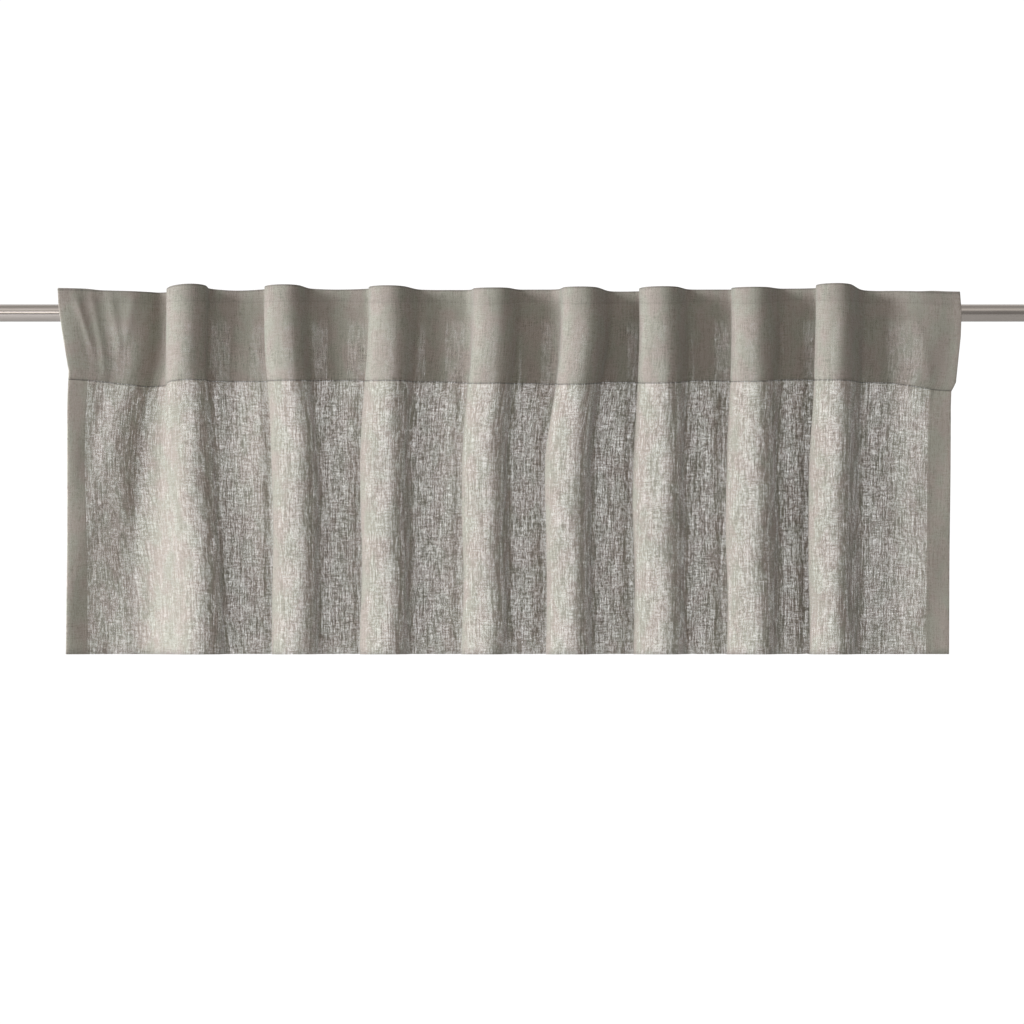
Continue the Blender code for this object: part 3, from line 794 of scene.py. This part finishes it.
def linen_finish():
    nodes = Nodes("sheer_linen")
    across, along = pattern_place(nodes, "cloth")
    warp_gap, warp_slub, warp_round = threads(nodes, across, along, **WARP)
    weft_gap, weft_slub, weft_round = threads(nodes, along, across, **WEFT)
    hole = open_weave(nodes, across, along, nodes.math("MULTIPLY", warp_gap, weft_gap))
    nodes.put(nodes.shader.inputs["Alpha"], nodes.math("SUBTRACT", 1.0, hole))

    warp_shade = nodes.even(warp_slub, *SLUB_RANGE)
    weft_shade = nodes.even(weft_slub, *SLUB_RANGE)
    shade = nodes.math("MULTIPLY_ADD", weft_shade, 0.45, nodes.math("MULTIPLY", warp_shade, 0.55))
    yarn = nodes.colour_mix(shade, LINEN_DARK, LINEN_LIGHT)
    cloud = nodes.noise(nodes.vector(across, along, 1.0), 34.0, detail=3.0)
    colour = nodes.colour_mix(nodes.mapped(cloud, 0.35, 0.65, 0.0, 0.35), yarn, LINEN)
    tint = nodes.noise(nodes.vector(across, nodes.math("MULTIPLY", along, 0.6), 9.0), 55.0, detail=2.0)
    cast = nodes.colour_mix(nodes.even(tint, 0.40, 0.60), *CASTS)
    colour = nodes.colour_mix(1.0, colour, cast, "MULTIPLY")
    # Painted shade: the colour is darkened along the seam, the strip's line and the top fold, and over the
    # doubled heading and the strip
    sewn = painted_shade(nodes, along)
    grey = nodes.add("ShaderNodeCombineColor", Red=sewn, Green=sewn, Blue=sewn)
    colour = nodes.colour_mix(1.0, colour, grey, "MULTIPLY")
    nodes.put(nodes.shader.inputs["Base Color"], colour)
    nodes.shader.inputs["Roughness"].default_value = 0.88
    nodes.shader.inputs["Specular IOR Level"].default_value = 0.15
    nodes.shader.inputs["Sheen Weight"].default_value = 0.12
    nodes.shader.inputs["Sheen Roughness"].default_value = 0.5
    height = nodes.math("SUBTRACT", 2.0, nodes.math("ADD", warp_round, weft_round))
    height = nodes.math("MULTIPLY_ADD", shade, 1.5, height)
    nodes.bump(height, 0.00012, 0.6)
    return nodes.material


def webbing_finish():
    nodes = Nodes("strap_webbing")
    across, along = pattern_place(nodes, "cloth")
    rib = nodes.math("ABSOLUTE", nodes.math("SINE", nodes.math("MULTIPLY", across, math.pi / WEBBING_RIB)))
    pick = nodes.math("ABSOLUTE", nodes.math("SINE", nodes.math("MULTIPLY", along, math.pi / WEBBING_PICK)))
    fuzz = nodes.noise(nodes.vector(across, along), 900.0, detail=3.0)
    height = nodes.math("MULTIPLY_ADD", pick, 0.5, nodes.math("MULTIPLY_ADD", fuzz, 0.4, rib))
    shade = nodes.mapped(height, 0.2, 1.5, 0.0, 1.0)
    colour = nodes.colour_mix(shade, *WEBBING)
    nodes.put(nodes.shader.inputs["Base Color"], colour)
    nodes.shader.inputs["Roughness"].default_value = 0.9
    nodes.shader.inputs["Specular IOR Level"].default_value = 0.2
    nodes.bump(height, 0.00018, 0.7)
    return nodes.material


def steel_finish():
    nodes = Nodes("brushed_steel_rod")
    place = nodes.add("ShaderNodeTexCoord", output=3)
    stretched = nodes.add("ShaderNodeMapping", Vector=place, Scale=(1.6, 190.0, 190.0))
    grain = nodes.noise(stretched, 18.0, detail=5.0, roughness=0.65)
    cloud = nodes.noise(place, 14.0, detail=2.0)
    colour = nodes.colour_mix(nodes.even(grain), *STEEL)
    nodes.put(nodes.shader.inputs["Base Color"], colour)
    nodes.shader.inputs["Metallic"].default_value = 1.0
    rough = nodes.math("MULTIPLY_ADD", cloud, 0.12, nodes.mapped(grain, 0.3, 0.7, 0.10, 0.20))
    nodes.put(nodes.shader.inputs["Roughness"], rough)
    nodes.bump(grain, 0.00004, 0.5)
    return nodes.material


def plug_finish():
    nodes = Nodes("moulded_plug")
    place = nodes.add("ShaderNodeTexCoord", output=3)
    grain = nodes.noise(place, 1400.0, detail=3.0)
    colour = nodes.colour_mix(nodes.even(grain), *PLASTIC)
    nodes.put(nodes.shader.inputs["Base Color"], colour)
    nodes.put(nodes.shader.inputs["Roughness"], nodes.mapped(grain, 0.3, 0.7, 0.40, 0.52))
    nodes.bump(grain, 0.00005, 0.5)
    return nodes.material


def thread_finish():
    nodes = Nodes("sewing_thread")
    place = nodes.add("ShaderNodeTexCoord", output=3)
    fibre = nodes.noise(place, 2600.0, detail=2.0)
    colour = nodes.colour_mix(nodes.even(fibre), *THREAD)
    nodes.put(nodes.shader.inputs["Base Color"], colour)
    nodes.shader.inputs["Roughness"].default_value = 0.7
    nodes.bump(fibre, 0.00005, 0.5)
    return nodes.material


# Stitching


def stitch_tree(finish):
    """A row of short stitches along a line: evenly spaced points, each with a small capsule laid along it."""
    tree = bpy.data.node_groups.new("row_of_stitches", "GeometryNodeTree")
    face = tree.interface
    face.new_socket("Line", in_out="INPUT", socket_type="NodeSocketGeometry")
    sizes = (("Stitch", STITCH), ("Pitch", STITCH_PITCH), ("Thread", THREAD_RADIUS))
    for name, value in sizes:
        face.new_socket(name, in_out="INPUT", socket_type="NodeSocketFloat").default_value = value
    face.new_socket("Stitches", in_out="OUTPUT", socket_type="NodeSocketGeometry")
    new, link = tree.nodes.new, tree.links.new
    given, result = new("NodeGroupInput"), new("NodeGroupOutput")
    spaced = new("GeometryNodeCurveToPoints")
    spaced.mode = "LENGTH"
    link(given.outputs["Line"], spaced.inputs["Curve"])
    link(given.outputs["Pitch"], spaced.inputs["Length"])
    capsule = new("GeometryNodeMeshUVSphere")
    capsule.inputs["Segments"].default_value = 8
    capsule.inputs["Rings"].default_value = 4
    link(given.outputs["Thread"], capsule.inputs["Radius"])
    ratio = new("ShaderNodeMath")
    ratio.operation = "DIVIDE"
    link(given.outputs["Stitch"], ratio.inputs[0])
    link(given.outputs["Thread"], ratio.inputs[1])
    half = new("ShaderNodeMath")
    half.operation = "MULTIPLY"
    half.inputs[1].default_value = 0.5
    link(ratio.outputs[0], half.inputs[0])
    size = new("ShaderNodeCombineXYZ")
    size.inputs[0].default_value = 1.0
    size.inputs[1].default_value = 1.0
    link(half.outputs[0], size.inputs[2])
    placed = new("GeometryNodeInstanceOnPoints")
    link(spaced.outputs["Points"], placed.inputs["Points"])
    link(capsule.outputs["Mesh"], placed.inputs["Instance"])
    link(spaced.outputs["Rotation"], placed.inputs["Rotation"])
    link(size.outputs[0], placed.inputs["Scale"])
    whole = new("GeometryNodeRealizeInstances")
    link(placed.outputs[0], whole.inputs[0])
    rounded = new("GeometryNodeSetShadeSmooth")
    link(whole.outputs[0], rounded.inputs[0])
    dyed = new("GeometryNodeSetMaterial")
    dyed.inputs["Material"].default_value = finish
    link(rounded.outputs[0], dyed.inputs[0])
    link(dyed.outputs[0], result.inputs[0])
    return tree


def stitched(name, lines, tree):
    """One piece with a row of stitches along each line."""
    curve = bpy.data.curves.new(name + "_line", "CURVE")
    curve.dimensions = "3D"
    for line in lines:
        spline = curve.splines.new("POLY")
        spline.points.add(len(line) - 1)
        spline.points.foreach_set("co", np.column_stack([line, np.ones(len(line))]).ravel())
    guide = new_object(name + "_line", curve)
    row = guide.modifiers.new("stitches", "NODES")
    row.node_group = tree
    bpy.context.view_layer.update()
    mesh = bpy.data.meshes.new_from_object(guide.evaluated_get(bpy.context.evaluated_depsgraph_get()))
    mesh.name = name
    bpy.data.objects.remove(guide)
    return new_object(name, mesh)


def along_width():
    return np.arange(SEWN_FROM_EDGE, FLAT_WIDTH - SEWN_FROM_EDGE, SEWN_STEP)


def on_front(s, t, out):
    """The place that stands out from the cloth's front at flat distance s and depth t."""
    return Row(t).points(np.array([s]), np.array([-out]))[0]


def line_across(t, out):
    s = along_width()
    return Row(t).points(s, np.full_like(s, -out))


def turn_across(out):
    """The line of the turned-in strip, which lies deeper below the top edge on the crests."""
    s = along_width()
    return np.array([on_front(at, t, out) for at, t in zip(s, turn_depth(s))])


def line_down(s, t_from, t_to, out):
    return np.array([on_front(s, t, out) for t in np.linspace(t_from, t_to, SEWN_STEPS_DOWN)])


# Studio

# How bright the studio is by how far up a direction points, from straight down to straight up
SKY = (
    (-1.0, 0.25), (-0.40, 0.30), (-0.20, 0.34), (0.15, 0.34), (0.40, 0.45), (0.56, 1.00),
    (0.76, 1.00), (0.88, 0.52), (1.0, 0.50),
)
# The studio is brighter on the left: between these two places across, it falls between these two levels
SIDE_FROM = (0.2, 0.9)
SIDE_TO = (1.08, 0.55)
BACKDROP = 1.05
FLOOR_HALF = 4.0
FLOOR_Z = -1.5
FLOOR = ((0.52, 0.52, 0.515, 1.0), (0.56, 0.56, 0.555, 1.0))
MIDDLE = (0.0, 0.0, -0.15)
# Each light: where it stands, what it aims at, its width and height, its power and its colour
KEY = ((-5.40, -2.66, 1.27), MIDDLE, (3.0, 2.4), 612.0, (0.93, 0.98, 1.06))
FILL = ((-1.35, -3.4, 0.35), (-1.35, 0.0, -0.15), (2.2, 1.0), 15.0, (1.0, 1.0, 1.0))


def area_light(name, place, target, size, power, colour):
    light = bpy.data.lights.new(name, "AREA")
    light.shape = "RECTANGLE"
    light.size, light.size_y = size
    light.energy = power
    light.color = colour
    made = new_object(name, light)
    made.location = place
    aim = np.asarray(target) - np.asarray(place)
    made.rotation_euler = Vector(aim).to_track_quat("-Z", "Y").to_euler()


def studio():
    world = bpy.data.worlds.new("studio")
    bpy.context.scene.world = world
    world.use_nodes = True
    tree = world.node_tree
    background = tree.nodes["Background"]
    background.inputs["Color"].default_value = (1.0, 1.0, 1.0, 1.0)
    path = tree.nodes.new("ShaderNodeLightPath")
    split = tree.nodes.new("ShaderNodeSeparateXYZ")
    tree.links.new(tree.nodes.new("ShaderNodeTexCoord").outputs["Generated"], split.inputs[0])
    level = tree.nodes.new("ShaderNodeMapRange")
    level.inputs["From Min"].default_value = -1.0
    tree.links.new(split.outputs[2], level.inputs["Value"])
    height = tree.nodes.new("ShaderNodeValToRGB")
    while len(height.color_ramp.elements) < len(SKY):
        height.color_ramp.elements.new(0.5)
    for stop, (rise, glow) in zip(height.color_ramp.elements, SKY):
        stop.position = (rise + 1) / 2
        stop.color = (glow, glow, glow, 1.0)
    tree.links.new(level.outputs[0], height.inputs["Fac"])
    side = tree.nodes.new("ShaderNodeMapRange")
    side.inputs["From Min"].default_value, side.inputs["From Max"].default_value = SIDE_FROM
    side.inputs["To Min"].default_value, side.inputs["To Max"].default_value = SIDE_TO
    tree.links.new(split.outputs[0], side.inputs["Value"])
    soft = tree.nodes.new("ShaderNodeMath")
    soft.operation = "MULTIPLY"
    tree.links.new(height.outputs[0], soft.inputs[0])
    tree.links.new(side.outputs[0], soft.inputs[1])
    strength = tree.nodes.new("ShaderNodeMapRange")
    strength.inputs["To Max"].default_value = BACKDROP
    tree.links.new(soft.outputs[0], strength.inputs["To Min"])
    tree.links.new(path.outputs["Is Camera Ray"], strength.inputs["Value"])
    tree.links.new(strength.outputs[0], background.inputs["Strength"])

    mesh = bpy.data.meshes.new("floor")
    corners = [(x * FLOOR_HALF, y * FLOOR_HALF, FLOOR_Z) for x, y in ((-1, -1), (1, -1), (1, 1), (-1, 1))]
    mesh.from_pydata(corners, [], [(0, 1, 2, 3)])
    nodes = Nodes("pale_floor")
    speck = nodes.noise(nodes.add("ShaderNodeTexCoord", output=3), 6.0, detail=2.0)
    pale = nodes.colour_mix(speck, *FLOOR)
    nodes.put(nodes.shader.inputs["Base Color"], pale)
    nodes.shader.inputs["Roughness"].default_value = 0.7
    mesh.materials.append(nodes.material)
    floor = new_object("floor", mesh)

    area_light("key", *KEY)
    area_light("fill", *FILL)

    camera = bpy.data.cameras.new("camera")
    camera.sensor_width = SENSOR
    camera.lens = SENSOR * CAMERA_DISTANCE / PICTURE_WIDTH
    seen = new_object("camera", camera)
    seen.location = (0.0, -CAMERA_DISTANCE, CAMERA_HEIGHT)
    seen.rotation_euler = (math.pi / 2, 0.0, 0.0)
    bpy.context.scene.camera = seen
    bpy.context.scene.view_settings.view_transform = "Standard"


def dress():
    linen = linen_finish()
    webbing = webbing_finish()
    thread = thread_finish()

    cloth = panel(linen)
    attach(cloth, "root")
    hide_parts("panel")

    for number in range(1, len(VALLEYS_AT_ROD) + 1):
        made = strap(number, webbing)
        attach(made, "root")
        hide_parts(f"back_tab_{number}")

    steel = rod(steel_finish())
    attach(steel, "root")
    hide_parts("rod")
    plastic = plug_finish()
    for side, word in ((-1, "left"), (1, "right")):
        made = plug(f"plug_{word}", side, plastic)
        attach(made, "root")
        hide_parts(f"end_plug_{word}")

    tree = stitch_tree(thread)
    out = CLOTH / 2 + THREAD_RADIUS * STITCH_STANDS_OUT
    hem_sewn = (HEADING_DEPTH + HEM_SEWN_BELOW_SEAM, DROP - HEM_SEWN_ABOVE_BOTTOM)
    lines = [
        line_across(HEADING_DEPTH - SEAM_SEWN_ABOVE, out),
        turn_across(out),
        line_down(HEM_LINE, *hem_sewn, out),
        line_down(FLAT_WIDTH - HEM_LINE, *hem_sewn, out),
    ]
    stitches = stitched("stitching", lines, tree)
    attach(stitches, "root")


dress()
studio()
